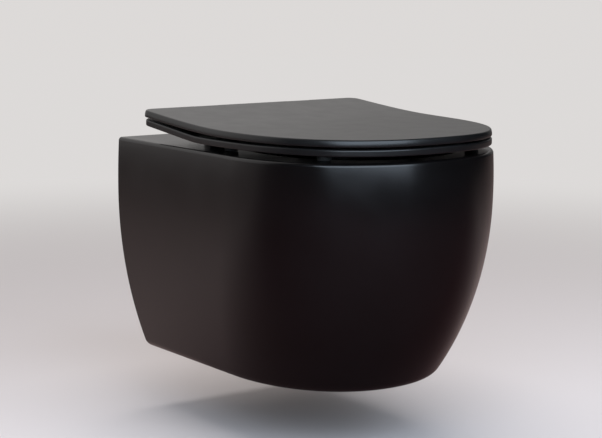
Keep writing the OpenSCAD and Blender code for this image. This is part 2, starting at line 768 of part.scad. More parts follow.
// Nylon bushes in the seat's knuckles
module seat_bushes() {
    color([0.9, 0.9, 0.88]) both_sides() on_axis() bush(seat_knuckle_x + knuckle_wall + end_gap);
}

module bush(x) {
    l = bore_l - 2 * end_gap;
    difference() {
        rod_x(x, l, knuckle_bush_r);
        rod_x(x - eps, l + 2 * eps, axle_r + run_gap);
    }
}

// Lid: a thin swept plate with a hollow underside and pockets for the feet of its hinge eyes
module lid() {
    color([0.12, 0.12, 0.13]) difference() {
        strip_loft([for (e = edge(lid_t, lid_low_r, lid_top_r))
            swept(seat_plan(lid_back, e[0], 44, 7), lid_z + e[1], lid_sweep)]);
        lid_underside();
        both_sides() on_axis() lid_eye_foot();
    }
}

// Foot of an eye, let into the lid's underside
module lid_eye_foot() {
    front = barrel_r - 1;
    rear = barrel_r / 2;
    h = lid_z + sweep(-axis_y, lid_sweep) + lid_t / 4 - axis_z;
    translate([lid_knuckle_x, -front, 0]) cube([knuckle_l, front + rear, h]);
}

// Hinge eyes of the lid
module lid_eyes() {
    color([0.2, 0.2, 0.21]) both_sides() on_axis() difference() {
        union() {
            rod_x(lid_knuckle_x, knuckle_l, barrel_r);
            lid_eye_foot();
        }
        rod_x(lid_knuckle_x - eps, bore_l + eps, knuckle_bush_r + run_gap);
    }
}

// The hollow under the lid, from just below its underside up to the hollow's roof
module lid_underside() {
    back = notch_front + lid_lip;
    sides = 6;
    hw = seat_hw - lid_lip;
    side = [for (i = [0 : sides - 1]) [hw, -back - (seat_side_l - back) * i / sides]];
    plan = concat(side, front_arc(hw, seat_side_l, seat_tip - lid_lip, seat_n, 32),
        [for (i = [sides - 1 : -1 : 0]) [-side[i][0], side[i][1]]]);
    strip_loft([for (h = [-eps, lid_hollow]) swept(plan, lid_z + h, lid_sweep)]);
}

// Round rubber buffers under the lid, down to the seat
module lid_buffers() {
    chamfer = 1;
    color([0.2, 0.2, 0.2]) both_sides() for (p = lid_buffers_at) {
        low = seat_z + seat_t + sweep(-p[1] + buffer_r, seat_sweep) + rest_gap;
        roof = lid_z + lid_hollow + sweep(-p[1] - buffer_r, lid_sweep) - rest_gap;
        translate([p[0], -p[1], low]) rotate_extrude() polygon([
            [0, 0], [buffer_r - chamfer, 0], [buffer_r, chamfer], [buffer_r, roof - low], [0, roof - low]]);
    }
}

module lid_bushes() {
    color([0.9, 0.9, 0.88]) both_sides() on_axis() bush(lid_knuckle_x + end_gap);
}

pan_shell();
pan_rim();
pan_bowl();
pan_sump();
pan_trapway();
flush_socket();
flush_distributor();
inlet_seal();
bracket_left();
bracket_right();
stud_inserts();
clamp_screws();
clamp_washers();
bolt_plugs();
plug_nuts();
hinge_bolts();
base_gaskets();
base_left();
base_right();
pillar_left();
pillar_right();
axle_left();
axle_right();
damper_left();
damper_right();
spring_left();
spring_right();
button_left();
button_right();
seat_ring();
seat_buffers();
seat_bushes();
lid();
lid_eyes();
lid_buffers();
lid_bushes();
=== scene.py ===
# %% [markdown]
# # A wall-hung toilet in satin black
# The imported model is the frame. It sets the overall size and every hinge, and this script adds the fine
# shapes and the finishes. The ceramic, the seat and the lid are modelled again here with smoother curves
# and softer edges, and all the small hinge and fixing parts keep their own shapes and get a finish.
# Lengths are in metres. +X is right seen from the front, the pan's rear edge lies at y = 0 and +Z is up.
# The origin is midway between the two studs that the pan hangs on.

# %% Load the frame
import json
import math

import bmesh
import bpy
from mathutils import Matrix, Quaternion, Vector


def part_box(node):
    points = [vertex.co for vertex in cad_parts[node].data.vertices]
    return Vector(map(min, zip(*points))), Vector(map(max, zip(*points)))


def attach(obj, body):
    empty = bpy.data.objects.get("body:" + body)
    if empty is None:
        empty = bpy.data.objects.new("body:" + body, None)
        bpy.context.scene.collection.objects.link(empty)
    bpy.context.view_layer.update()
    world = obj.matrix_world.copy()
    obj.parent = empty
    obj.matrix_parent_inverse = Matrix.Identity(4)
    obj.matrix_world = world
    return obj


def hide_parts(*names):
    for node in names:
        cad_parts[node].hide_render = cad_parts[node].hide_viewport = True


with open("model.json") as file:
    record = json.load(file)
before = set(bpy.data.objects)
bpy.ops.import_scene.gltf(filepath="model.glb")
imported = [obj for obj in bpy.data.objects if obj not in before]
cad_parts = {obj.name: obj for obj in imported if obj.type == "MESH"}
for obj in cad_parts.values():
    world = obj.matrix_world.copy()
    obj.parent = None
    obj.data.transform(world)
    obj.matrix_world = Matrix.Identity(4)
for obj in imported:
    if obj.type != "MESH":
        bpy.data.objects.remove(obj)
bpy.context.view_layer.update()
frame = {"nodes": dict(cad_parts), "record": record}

MM = 0.001

# %% [markdown]
# ## Sizes of the ceramic
# A pan like this is cast as a hollow shell: a broad rim, bulging flanks that run in towards a flat
# underside, and a bowl that falls to a sump. Its main sizes stand here once, and each shape below is worked
# out from them. The flanks are widest at the belly's height. Two large radii bend each of them in, one
# below the belly and one above it, and the nose has two of its own.

# %% Sizes of the ceramic
RIM_Z = 80 * MM
UNDERSIDE_Z = -223.5 * MM
PAN_HALF_WIDTH = 184.9 * MM
PAN_LENGTH = 477.8 * MM
BELLY_Z = 7 * MM
FLANK_BELOW_R = 620 * MM
FLANK_ABOVE_R = 1100 * MM
NOSE_BELOW_R = 364 * MM
NOSE_ABOVE_R = 450 * MM
SIDE_TOP_LENGTH = 294 * MM
SIDE_LOW_LENGTH = 214 * MM
PAN_FULLNESS = 2.18
RIM_EDGE_R = 4.5 * MM
LOW_EDGE_R = 12 * MM
SHELL_THICK = 12 * MM
DECK_THICK = 14 * MM
DECK_LOW_Z = RIM_Z - DECK_THICK
print("pan", 2 * PAN_HALF_WIDTH, "wide and", PAN_LENGTH, "deep")


# %% [markdown]
# ## Plans of the pan
# Seen from above the pan has straight sides and a rounded front that is a little fuller than an ellipse, so
# its curve is a superellipse. Seen from the front or the side each flank is a shallow arc, widest just
# above the studs. These few functions give the plan at any height.

# %% Plans of the pan
def bulge(z, below_r, above_r):
    """How far an arc of a flank has come in at a height."""
    drop = z - BELLY_Z
    r = below_r if drop < 0 else above_r
    return r - math.sqrt(r * r - drop * drop)


def flank_x(z):
    """Half width of the pan at a height."""
    return PAN_HALF_WIDTH - bulge(z, FLANK_BELOW_R, FLANK_ABOVE_R)


def nose_y(z):
    """Length of the pan at a height."""
    return PAN_LENGTH - bulge(z, NOSE_BELOW_R, NOSE_ABOVE_R)


def straight_side(z):
    """Length of the straight stretch of each side at a height."""
    share = (z - UNDERSIDE_Z) / (RIM_Z - UNDERSIDE_Z)
    return SIDE_LOW_LENGTH + (SIDE_TOP_LENGTH - SIDE_LOW_LENGTH) * share


def signed_power(value, power):
    """Power of a value's size, with the value's sign."""
    return math.copysign(abs(value) ** power, value)


def rounded_front(half_width, start, tip, fullness, steps):
    """Front of a plan from the right side to the left one."""
    power = 2 / fullness
    turns = [math.pi * i / steps for i in range(steps)]
    points = [(half_width * signed_power(math.cos(a), power), -start - (tip - start) * math.sin(a) ** power)
              for a in turns]
    return points + [(-half_width, -start)]


def pan_plan(inset, z, back=0.0, steps=150, parts=20):
    """Outline of the pan at a height, drawn in by an inset."""
    half, start, tip = flank_x(z) - inset, straight_side(z), nose_y(z) - inset
    side = [(half, -back - (start - back) * i / parts) for i in range(parts)]
    front = rounded_front(half, start, tip, PAN_FULLNESS, steps)
    return side + front + [(-x, y) for x, y in reversed(side)]


print("plan of the pan has", len(pan_plan(0, 0)), "points")


# %% [markdown]
# ## Plans of the bowl
# The bowl is an oval that shrinks from its mouth to the sump. One power keeps it wide for longer on the
# way down, and another softens its foot.

# %% Plans of the bowl
BOWL_HALF_WIDTH = 128 * MM
BOWL_BACK = 141 * MM
BOWL_TIP = 434 * MM
BOWL_DEPTH = 278 * MM
BOWL_FULLNESS = 2.2
BOWL_STAYS_WIDE = 2.2
BOWL_SOFT_FOOT = 1.2
SUMP_HALF_WIDTH = 30 * MM
SUMP_BACK = 206 * MM
SUMP_TIP = 268 * MM


def bowl_plan(depth, grow, steps=140):
    """Oval of the bowl at a depth below the rim, grown outwards."""
    if depth < BOWL_DEPTH:
        share = max(depth, 0) / BOWL_DEPTH
        width = (1 - share ** BOWL_STAYS_WIDE) ** BOWL_SOFT_FOOT
    else:
        width = 0.0
    half = SUMP_HALF_WIDTH + (BOWL_HALF_WIDTH - SUMP_HALF_WIDTH) * width + grow
    back = SUMP_BACK + (BOWL_BACK - SUMP_BACK) * width - grow
    tip = SUMP_TIP + (BOWL_TIP - SUMP_TIP) * width + grow
    mid, reach = (back + tip) / 2, (tip - back) / 2
    power = 2 / BOWL_FULLNESS
    turns = [2 * math.pi * i / steps for i in range(steps)]
    return [(half * signed_power(math.cos(a), power), -mid - reach * signed_power(math.sin(a), power))
            for a in turns]


print("bowl", 2 * BOWL_HALF_WIDTH, "wide and", BOWL_DEPTH, "deep")


# %% [markdown]
# ## Rings that grow into a solid
# A cast shape like this can be thought of as a stack of outlines. One circle is made and its corners are
# moved onto the first outline. The loop is then extruded again and again, and each new loop is moved onto
# the next outline. A number kept on each corner tells which point of the outline it belongs to. Stacking
# gives full control of the bulge, which a subdivided box does not.

# %% Rings that grow into a solid
def edges_between(verts):
    """Edges whose two ends are both among some corners, in the order of the corners."""
    chosen = set(verts)
    touching = dict.fromkeys(e for v in verts for e in v.link_edges)
    return [e for e in touching if set(e.verts) <= chosen]


def new_verts(made):
    """Corners among the things that an operator made."""
    return [g for g in made if isinstance(g, bmesh.types.BMVert)]


def grow_rings(outlines, capped=True):
    """Bmesh through outlines of (plan, height), with a flat face at each end where it is capped."""
    bm = bmesh.new()
    place = bm.verts.layers.int.new("place")
    plan, height = outlines[0]
    circle = bmesh.ops.create_circle(bm, segments=len(plan), radius=1.0)["verts"]
    for i, vert in enumerate(circle):
        vert[place] = i
        vert.co = (*plan[i], height)
    first = loop = edges_between(circle)
    for plan, height in outlines[1:]:
        raised = new_verts(bmesh.ops.extrude_edge_only(bm, edges=loop)["geom"])
        for vert in raised:
            vert.co = (*plan[vert[place]], height)
        loop = edges_between(raised)
    if capped:
        bmesh.ops.contextual_create(bm, geom=first)
        bmesh.ops.contextual_create(bm, geom=loop)
    bm.verts.layers.int.remove(place)
    bmesh.ops.recalc_face_normals(bm, faces=bm.faces)
    return bm


def quarter(r, steps):
    """Rounding of an edge as pairs: how far in, how far from the flat."""
    turns = [0.5 * math.pi * i / steps for i in range(steps + 1)]
    return [(r * (1 - math.sin(a)), r * (1 - math.cos(a))) for a in turns]


def as_object(name, bm):
    """Keeps a bmesh as an object of the scene."""
    mesh = bpy.data.meshes.new(name)
    bm.to_mesh(mesh)
    bm.free()
    piece = bpy.data.objects.new(name, mesh)
    bpy.context.scene.collection.objects.link(piece)
    return piece


print("ring tools ready")


# %% [markdown]
# ## Cutting and joining
# Holes, hollows and sockets are easiest as cutters: a solid of the hole's shape is taken away from the
# piece. The exact solver keeps the long smooth faces of the flanks as they are. The result is
# applied at once, so the piece ends as one plain mesh.

# %% Cutting and joining
def combine(piece, others, operation="DIFFERENCE"):
    """Cuts other objects from a piece, or joins them to it, and removes them."""
    for other in others:
        step = piece.modifiers.new(operation.lower(), "BOOLEAN")
        step.operation = operation
        step.solver = "EXACT"
        step.object = other
    bpy.context.view_layer.update()
    shaped = piece.evaluated_get(bpy.context.evaluated_depsgraph_get())
    before = piece.data
    after = bpy.data.meshes.new_from_object(shaped)
    piece.modifiers.clear()
    piece.data = after
    bpy.data.meshes.remove(before)
    for other in others:
        bpy.data.objects.remove(other)
    return piece


print("cutting tool ready")


# %% [markdown]
# ## Cutters
# Most cutters here are boxes and round rods. A cutter reaches a little past the face that it opens,
# because two faces in one plane leave the solver to guess.

# %% Cutters
PAST_FACE = 1 * MM


def block(name, low, high):
    """Box between two corners."""
    bm = bmesh.new()
    bmesh.ops.create_cube(bm, size=1.0)
    low, high = Vector(low), Vector(high)
    bmesh.ops.scale(bm, vec=high - low, verts=bm.verts)
    bmesh.ops.translate(bm, vec=(low + high) / 2, verts=bm.verts)
    return as_object(name, bm)


def mirrored_block(name, low, high):
    """A box on the right and its mirror image on the left."""
    (x1, y1, z1), (x2, y2, z2) = low, high
    return [block(name, (x1, y1, z1), (x2, y2, z2)), block(name, (-x2, y1, z1), (-x1, y2, z2))]


def rod(name, start, end, radius, sides=64):
    """Round bar between two points on a line along X, Y or Z."""
    start, end = Vector(start), Vector(end)
    along = end - start
    bm = bmesh.new()
    bmesh.ops.create_cone(bm, segments=sides, radius1=radius, radius2=radius, depth=along.length,
                          cap_ends=True)
    turn = Vector((0, 0, 1)).rotation_difference(along).to_matrix()
    bmesh.ops.rotate(bm, cent=(0, 0, 0), matrix=turn, verts=bm.verts)
    bmesh.ops.translate(bm, vec=(start + end) / 2, verts=bm.verts)
    return as_object(name, bm)


print("cutters ready")


# %% [markdown]
# ## Soft shading
# A moulded or cast piece is smooth, but its cut edges stay crisp. Edges that bend by more than a set angle
# are marked sharp, and the large flat faces lead the shading, so no dark fan shows beside a hole.

# %% Soft shading
MERGE_WITHIN = 0.01 * MM


def soften(piece, sharp_from=32):
    """Smooth shading that keeps real corners crisp and flat faces flat. The angle is in degrees."""
    bm = bmesh.new()
    bm.from_mesh(piece.data)
    bmesh.ops.remove_doubles(bm, verts=bm.verts, dist=MERGE_WITHIN)
    for face in bm.faces:
        face.smooth = True
    for edge in bm.edges:
        edge.smooth = len(edge.link_faces) == 2 and edge.calc_face_angle(0) < math.radians(sharp_from)
    bm.to_mesh(piece.data)
    bm.free()
    weigh = piece.modifiers.new("flat faces lead", "WEIGHTED_NORMAL")
    weigh.keep_sharp = True
    weigh.weight = 90
    return piece


print("shading tool ready")

# %% [markdown]
# ## Outside of the ceramic
# The flanks carry the long soft reflections that make the pan read as glazed ceramic, so they get many
# levels. The edge round the rim and the one round the underside are true quarter rounds.

# %% Outside of the ceramic
EDGE_STEPS = 8
FLANK_LEVELS = 36

low_edge = [(pan_plan(inset, UNDERSIDE_Z + rise), UNDERSIDE_Z + rise)
            for inset, rise in quarter(LOW_EDGE_R, EDGE_STEPS)]
flank_from, flank_to = UNDERSIDE_Z + LOW_EDGE_R, RIM_Z - RIM_EDGE_R
flank_levels = [flank_from + (flank_to - flank_from) * i / FLANK_LEVELS for i in range(1, FLANK_LEVELS)]
flanks = [(pan_plan(0, z), z) for z in flank_levels]
top_edge = [(pan_plan(inset, RIM_Z - drop), RIM_Z - drop)
            for inset, drop in reversed(quarter(RIM_EDGE_R, EDGE_STEPS))]
pan = as_object("pan_ceramic", grow_rings(low_edge + flanks + top_edge))
print("outside of the pan:", len(pan.data.polygons), "faces")

# %% [markdown]
# ## Room behind the flanks
# Behind the flanks the pan is hollow and open at the rear, where the pipes and the two hanging blocks go.
# The room is built as a solid of its own, a shell's thickness inside the flanks, with cut corners where the
# slip would not fill a sharp one.

# %% Room behind the flanks
ROOM_LOW_Z = UNDERSIDE_Z + SHELL_THICK
ROOM_CORNER = 8 * MM
ROOM_LEVELS = 12
ROOM_STEPS = 61
ROOM_PARTS = 7

corner = [(0, ROOM_CORNER), (ROOM_CORNER / 3, ROOM_CORNER / 3), (ROOM_CORNER, 0)]
upright_rise = DECK_LOW_Z - ROOM_LOW_Z - 2 * ROOM_CORNER
room_levels = [(ROOM_LOW_Z + rise, inset) for rise, inset in corner]
room_levels += [(ROOM_LOW_Z + ROOM_CORNER + upright_rise * i / ROOM_LEVELS, 0)
                for i in range(1, ROOM_LEVELS)]
room_levels += [(DECK_LOW_Z - rise, inset) for rise, inset in reversed(corner)]
room = as_object("room", grow_rings(
    [(pan_plan(SHELL_THICK + inset, z, back=-PAST_FACE, steps=ROOM_STEPS, parts=ROOM_PARTS), z)
     for z, inset in room_levels]))
print("room behind the flanks:", len(room.data.polygons), "faces")

# %% [markdown]
# ## Bowl skin and ledge
# The bowl hangs in that room with a skin of its own, and the right ledge lies on its hanging block. Both
# are taken out of the room before the room is cut from the pan, so both stay as ceramic. The left
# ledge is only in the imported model.

# %% Bowl skin and ledge
SKIN_FROM = 7 * MM
SKIN_DEPTH = 284.5 * MM
SKIN_LEVELS = 24
SKIN_STEPS = 90
LEDGE_IN_X = 62 * MM
LEDGE_OUT_X = 179 * MM
LEDGE_FRONT = 153 * MM
LEDGE_BACK = 50 * MM
LEDGE_LOW_Z = 18 * MM
LEDGE_TOP_Z = 30 * MM

skin_depths = [SKIN_DEPTH * i / SKIN_LEVELS for i in range(SKIN_LEVELS, -1, -1)]
bowl_skin = as_object("bowl_skin", grow_rings(
    [(bowl_plan(SKIN_FROM + d, SHELL_THICK, steps=SKIN_STEPS), RIM_Z - SKIN_FROM - d) for d in skin_depths]))
ledge = block("ledge", (LEDGE_IN_X, -LEDGE_FRONT, LEDGE_LOW_Z), (LEDGE_OUT_X, -LEDGE_BACK, LEDGE_TOP_Z))
room = combine(room, [ledge, bowl_skin])
print("room round the bowl:", len(room.data.polygons), "faces")

# %% [markdown]
# ## The bowl
# The mouth of the bowl is rounded over, and the bowl falls steeply at the front and more gently towards the
# sump.

# %% The bowl
BOWL_LEVELS = 44
MOUTH_R = 8 * MM

mouth = [(bowl_plan(drop, inset), RIM_Z - drop) for inset, drop in reversed(quarter(MOUTH_R, EDGE_STEPS))]
mouth.append((bowl_plan(0, MOUTH_R), RIM_Z + PAST_FACE))
depths = [MOUTH_R + (BOWL_DEPTH - MOUTH_R) * (i / BOWL_LEVELS) for i in range(BOWL_LEVELS, 0, -1)]
bowl = as_object("bowl", grow_rings([(bowl_plan(d, 0), RIM_Z - d) for d in depths] + mouth))
print("bowl:", len(bowl.data.polygons), "faces")

# %% [markdown]
# ## Water ways and bolt holes
# The water leaves through a round way at the sump's foot and comes in high at the back. Two holes in the
# deck take the bolts of the hinges, and below the right one the ledge is pierced for its clamp screw.

# %% Water ways and bolt holes
HINGE_X = 77.5 * MM
HINGE_HOLE_Y = 86 * MM
DECK_HOLE_R = 8 * MM
SCREW_HOLE_R = 6 * MM
WASTE_R = 27 * MM
WASTE_WAY_BACK = 162 * MM
FLUSH_Z = 35 * MM
FLUSH_R = 24 * MM
FLUSH_WAY_BACK = 0.1 * MM


def upright_cutter(name, x, low_z, high_z, radius):
    """Round cutter at the place of the hinge bolts along Y, a little past both faces."""
    return rod(name, (x, -HINGE_HOLE_Y, low_z - PAST_FACE), (x, -HINGE_HOLE_Y, high_z + PAST_FACE), radius)


sump_mid = -(SUMP_BACK + SUMP_TIP) / 2
waste_z = RIM_Z - BOWL_DEPTH + WASTE_R
holes = [rod("waste_way", (0, sump_mid, waste_z), (0, -WASTE_WAY_BACK, waste_z), WASTE_R),
         rod("flush_way", (0, -FLUSH_WAY_BACK, FLUSH_Z), (0, -BOWL_BACK - SHELL_THICK, FLUSH_Z), FLUSH_R)]
holes += [upright_cutter("bolt_hole", x, DECK_LOW_Z, RIM_Z, DECK_HOLE_R) for x in (HINGE_X, -HINGE_X)]
holes.append(upright_cutter("screw_hole", HINGE_X, LEDGE_LOW_Z, LEDGE_TOP_Z, SCREW_HOLE_R))
pan = combine(pan, [room, bowl] + holes)
soften(pan)
print("pan:", len(pan.data.polygons), "faces")

# %% [markdown]
# ## Sizes of the seat and the lid
# The seat ring and the lid are slim mouldings of hard thermoset plastic with nearly the same outline. Both
# lie level over the front half and sweep up towards the hinges. A sweep is given as its slope, the length
# over which it blends in, and the place where it starts. The lid's starts sooner and more softly.

# %% Sizes of the seat and the lid
SEAT_HALF_WIDTH = 180.5 * MM
SEAT_TIP = 475.5 * MM
SEAT_SIDE_LENGTH = 228 * MM
SEAT_FULLNESS = 2.5
SEAT_CORNER_R = 16 * MM
SEAT_BACK = 61.5 * MM
SEAT_GAP = 8.2 * MM
SEAT_Z = RIM_Z + SEAT_GAP
SEAT_THICK = 8.7 * MM
SEAT_SWEEP = (0.103, 12 * MM, 198 * MM)
LID_BACK = 58.5 * MM
LID_GAP = 2.2 * MM
LID_Z = SEAT_Z + SEAT_THICK + LID_GAP
LID_THICK = 9.1 * MM
LID_SWEEP = (0.095, 68 * MM, 206 * MM)


def sweep_up(y, sweep):
    """Rise of the seat or the lid at a place along Y: a slope that blends in softly from its start."""
    slope, blend, start = sweep
    run = y + start
    return slope * (math.sqrt(run * run + blend * blend) + run) / 2


print("seat rises", round(sweep_up(-SEAT_BACK, SEAT_SWEEP) / MM, 1), "mm at the back")
print("lid rises", round(sweep_up(-LID_BACK, LID_SWEEP) / MM, 1), "mm at the back")


# %% [markdown]
# ## Outline of the seat and the lid
# The outline runs from the right rear corner round the front to the left one. The rear corners are plain
# quarter circles, and the front is a superellipse again, a little fuller than the pan's.

# %% Outline of the seat and the lid
def seat_outline(back, inset=0.0, steps=150, parts=26, corner_steps=10):
    """Outline of the seat or the lid, drawn in by an inset."""
    half, r, back = SEAT_HALF_WIDTH - inset, SEAT_CORNER_R - inset, back + inset
    turns = [0.5 * math.pi * (1 - i / corner_steps) for i in range(corner_steps + 1)]
    rear_corner = [(half - r + r * math.cos(a), -back - r + r * math.sin(a)) for a in turns]
    side = [(half, -back - r - (SEAT_SIDE_LENGTH - back - r) * i / parts) for i in range(1, parts)]
    right = rear_corner + side
    front = rounded_front(half, SEAT_SIDE_LENGTH, SEAT_TIP - inset, SEAT_FULLNESS, steps)
    return right + front + [(-x, y) for x, y in reversed(right)]


print("outline of the seat has", len(seat_outline(SEAT_BACK)), "points")


# %% [markdown]
# ## Flat slab first, sweep last
# Both mouldings start as a flat slab with rounded edges. Cross cuts every few millimetres then let the slab
# bend, and each corner is lifted by the sweep at its place. Bending last keeps the edge rounds even, which
# they would not be if a bent sheet were bevelled. Faces with many corners are split into triangles
# first, because a cut across a face that isn't convex can lose a part of it.

# %% Flat slab first, sweep last
CUT_STEP = 5 * MM
WIDE_CUT_STEP = 4 * CUT_STEP
CLOSE_CUTS_PAST_SIDE = 60 * MM
SAME_HEIGHT = 1e-6
CORNER_TURN = 1.0


def round_edges(bm, height, radius, segments):
    """Bevels the sharp edges that lie at one height of a flat slab."""
    at_height = [e for e in bm.edges if all(abs(v.co.z - height) < SAME_HEIGHT for v in e.verts)
                 and len(e.link_faces) == 2 and e.calc_face_angle(0) > CORNER_TURN]
    bmesh.ops.bevel(bm, geom=at_height, offset=radius, offset_type="OFFSET", segments=segments, profile=0.5,
                    affect="EDGES", clamp_overlap=False, material=-1)


def sweep_slab(bm, z, sweep):
    """Cuts a flat slab across in strips, then lifts it onto its sweep."""
    bmesh.ops.triangulate(bm, faces=[f for f in bm.faces if len(f.verts) > 4])
    y = -SEAT_BACK - CUT_STEP
    while y > -SEAT_TIP:
        bmesh.ops.bisect_plane(bm, geom=bm.verts[:] + bm.edges[:] + bm.faces[:], dist=1e-7,
                               plane_co=(0, y, 0), plane_no=(0, 1, 0))
        y -= CUT_STEP if y > -SEAT_SIDE_LENGTH - CLOSE_CUTS_PAST_SIDE else WIDE_CUT_STEP
    for vert in bm.verts:
        vert.co.z += z + sweep_up(vert.co.y, sweep)


print("slab tools ready")


# %% [markdown]
# ## The seat ring
# A flat ring is the strip between the outer outline and the opening. It is given its thickness,
# then its four long edges are rounded and it is swept. Each point of the opening lies in the direction
# of its partner on the outline, so the strip's faces don't twist.

# %% The seat ring
OPENING_HALF_WIDTH = 108 * MM
OPENING_BACK = 160 * MM
OPENING_TIP = 426 * MM
OPENING_FULLNESS = 2.3
SEAT_TOP_R = 2.2 * MM
SEAT_LOW_R = 1.5 * MM


def opening_outline(outline):
    """Point of the seat's opening that lies in the same direction as each point of the outline."""
    mid, reach = (OPENING_BACK + OPENING_TIP) / 2, (OPENING_TIP - OPENING_BACK) / 2
    points = []
    for x, y in outline:
        a = math.atan2(y + mid, x)
        r = (abs(math.cos(a) / OPENING_HALF_WIDTH) ** OPENING_FULLNESS
             + abs(math.sin(a) / reach) ** OPENING_FULLNESS) ** (-1 / OPENING_FULLNESS)
        points.append((r * math.cos(a), r * math.sin(a) - mid))
    return points


outer = seat_outline(SEAT_BACK)
ring_bm = grow_rings([(outer, 0), (opening_outline(outer), 0)], capped=False)
lifted = bmesh.ops.extrude_face_region(ring_bm, geom=ring_bm.faces[:], use_keep_orig=True)["geom"]
bmesh.ops.translate(ring_bm, vec=(0, 0, SEAT_THICK), verts=new_verts(lifted))
bmesh.ops.recalc_face_normals(ring_bm, faces=ring_bm.faces)
round_edges(ring_bm, 0, SEAT_LOW_R, segments=5)
round_edges(ring_bm, SEAT_THICK, SEAT_TOP_R, segments=6)
sweep_slab(ring_bm, SEAT_Z, SEAT_SWEEP)
seat = as_object("seat_moulding", ring_bm)
print("seat ring:", len(seat.data.polygons), "faces")

# %% [markdown]
# ## Notches and knuckles of the seat
# Two notches at the back make room for the hinge pillars. Beside each pillar the ring has a knuckle, a bar
# along the hinge line that is bored for its bush. The hinge line itself comes from the frame.

# %% Notches and knuckles of the seat
NOTCH_IN_X = 45 * MM
NOTCH_OUT_X = 112 * MM
NOTCH_FRONT = 98 * MM
NOTCH_HEIGHT = 60 * MM
KNUCKLE_R = 6 * MM
KNUCKLE_LENGTH = 12 * MM
KNUCKLE_ROOT = 6 * MM
BUSH_R = 4.05 * MM
BUSH_STOP = 1.5 * MM
hinges = {joint["name"]: joint for joint in frame["record"]["behaviour"]["joints"]}
AXIS = Vector(hinges["seat_hinge"]["pos_m"])


def hinge_rods(name, x_from, x_to, radius):
    """A bar on the hinge line on each side of the middle."""
    return [rod(name, AXIS + Vector((side * x_from, 0, 0)), AXIS + Vector((side * x_to, 0, 0)), radius)
            for side in (1, -1)]


knuckle_end = NOTCH_IN_X + KNUCKLE_LENGTH
combine(seat, mirrored_block("notch", (NOTCH_IN_X, -NOTCH_FRONT, RIM_Z),
                             (NOTCH_OUT_X, PAST_FACE, RIM_Z + NOTCH_HEIGHT)))
combine(seat, hinge_rods("seat_knuckle", NOTCH_IN_X - KNUCKLE_ROOT, knuckle_end, KNUCKLE_R), "UNION")
bores = hinge_rods("seat_bore", NOTCH_IN_X + BUSH_STOP, knuckle_end + PAST_FACE, BUSH_R)
print("hinge line at", tuple(round(v, 4) for v in AXIS))

# %% [markdown]
# ## Buffer pockets of the seat
# Four round pockets under the ring hold its rubber buffers: two at the sides and two near the front.

# %% Buffer pockets of the seat
BUFFER_R = 9 * MM
BUFFER_POCKET = 2 * MM
CLEARANCE = 0.3 * MM
SIDE_BUFFER_IN = 30.6 * MM
SIDE_BUFFER_Y = 240 * MM
FRONT_BUFFER_SHARE = 0.65
FRONT_BUFFER_Y = 399 * MM

front_buffer = (FRONT_BUFFER_SHARE * SEAT_HALF_WIDTH, FRONT_BUFFER_Y)
seat_buffer_places = [(SEAT_HALF_WIDTH - SIDE_BUFFER_IN, SIDE_BUFFER_Y), front_buffer]
pockets = [rod("pocket", (side * x, -y, SEAT_Z - PAST_FACE),
               (side * x, -y, SEAT_Z + BUFFER_POCKET + sweep_up(-y, SEAT_SWEEP)), BUFFER_R + CLEARANCE)
           for side in (1, -1) for x, y in seat_buffer_places]
combine(seat, bores + pockets)
soften(seat)
print("seat:", len(seat.data.polygons), "faces")

# %% [markdown]
# ## The lid
# The lid is one slab. Its side stands upright only at the foot, leans in on a wide arc and rolls over into
# the top on a tight one, so it catches a soft highlight under a dark line. The three arcs meet without a
# corner, and the rings of the slab follow them.

# %% The lid
LID_LOW_R = 1 * MM
LID_SIDE_HEIGHT = 2.2 * MM
LID_SIDE_R = 16 * MM
LID_SIDE_TURN = math.radians(18.5)
LOW_STEPS = 3
SIDE_STEPS = 7
ROLL_STEPS = 6

profile = quarter(LID_LOW_R, LOW_STEPS)
turns = [LID_SIDE_TURN * i / SIDE_STEPS for i in range(SIDE_STEPS + 1)]
profile += [(LID_SIDE_R * (1 - math.cos(a)), LID_SIDE_HEIGHT + LID_SIDE_R * math.sin(a)) for a in turns]
lean_in, lean_up = profile[-1]
roll_r = (LID_THICK - lean_up) / (1 - math.sin(LID_SIDE_TURN))
turns = [LID_SIDE_TURN + (0.5 * math.pi - LID_SIDE_TURN) * i / ROLL_STEPS for i in range(1, ROLL_STEPS + 1)]
profile += [(lean_in + roll_r * (math.cos(LID_SIDE_TURN) - math.cos(a)),
             lean_up + roll_r * (math.sin(a) - math.sin(LID_SIDE_TURN))) for a in turns]
lid_bm = grow_rings([(seat_outline(LID_BACK, inset), height) for inset, height in profile])
lid = as_object("lid_moulding", lid_bm)
print("lid slab:", len(lid.data.polygons), "faces")

# %% [markdown]
# ## The lid's hollow and sweep
# The underside is hollowed inside a lip, so the moulding stays light and stiff. The hollow is cut while the
# slab is flat, and both are swept together.

# %% The lid's hollow and sweep
LID_LIP = 14 * MM
LID_HOLLOW = 3 * MM
HOLLOW_EDGE_R = 2 * MM
HOLLOW_PARTS = 8
HOLLOW_STEPS = 100

hollow_back = NOTCH_FRONT + LID_LIP
hollow_half = SEAT_HALF_WIDTH - LID_LIP
hollow_side = [(hollow_half, -hollow_back - (SEAT_SIDE_LENGTH - hollow_back) * i / HOLLOW_PARTS)
               for i in range(HOLLOW_PARTS)]
hollow_front = rounded_front(hollow_half, SEAT_SIDE_LENGTH, SEAT_TIP - LID_LIP, SEAT_FULLNESS, HOLLOW_STEPS)
hollow_plan = hollow_side + hollow_front + [(-x, y) for x, y in reversed(hollow_side)]
hollow_bm = grow_rings([(hollow_plan, -PAST_FACE), (hollow_plan, LID_HOLLOW)])
round_edges(hollow_bm, LID_HOLLOW, HOLLOW_EDGE_R, segments=4)
combine(lid, [as_object("lid_hollow", hollow_bm)])

